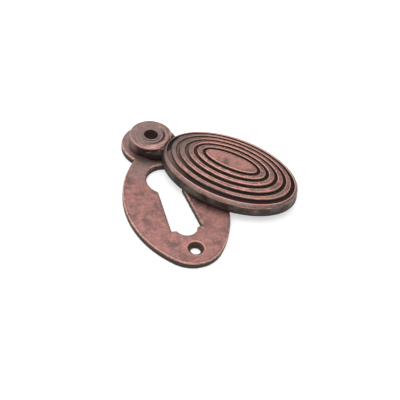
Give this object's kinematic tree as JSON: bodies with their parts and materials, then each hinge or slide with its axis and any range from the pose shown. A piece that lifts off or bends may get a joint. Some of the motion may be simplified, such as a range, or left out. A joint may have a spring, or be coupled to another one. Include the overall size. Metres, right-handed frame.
{
  "type": "covered keyhole escutcheon",
  "caption": "Oval keyhole escutcheon plate with a reeded oval cover that swings aside on a hollow rivet, aged copper finish.",
  "frame": {"origin": "on the pivot axis, which is also the axis of the upper fixing hole, at the back face of the plate", "axes": "+Z out of the plate's face, +Y up the plate from the keyhole to the pivot, +X to the right seen from the front"},
  "size_m": [0.0555, 0.0612, 0.0093],
  "materials": {
    "plate_copper": "cast brass with an aged copper patina, rubbed bright at its edges",
    "rivet_copper": "turned brass tube with a dark aged copper patina",
    "cover_copper": "cast brass with an aged copper patina, dark in the grooves and rubbed bright on the reeds"
  },
  "bodies": {
    "plate": {"back_plate": "plate_copper", "pivot_rivet": "rivet_copper"},
    "cover": {"swing_cover": "cover_copper"}
  },
  "joints": [
    {"name": "cover_swing", "type": "hinge", "parent": "plate", "child": "cover", "pos_m": [0, 0, 0], "axis": [0, 0, 1], "continuous": true}
  ]
}
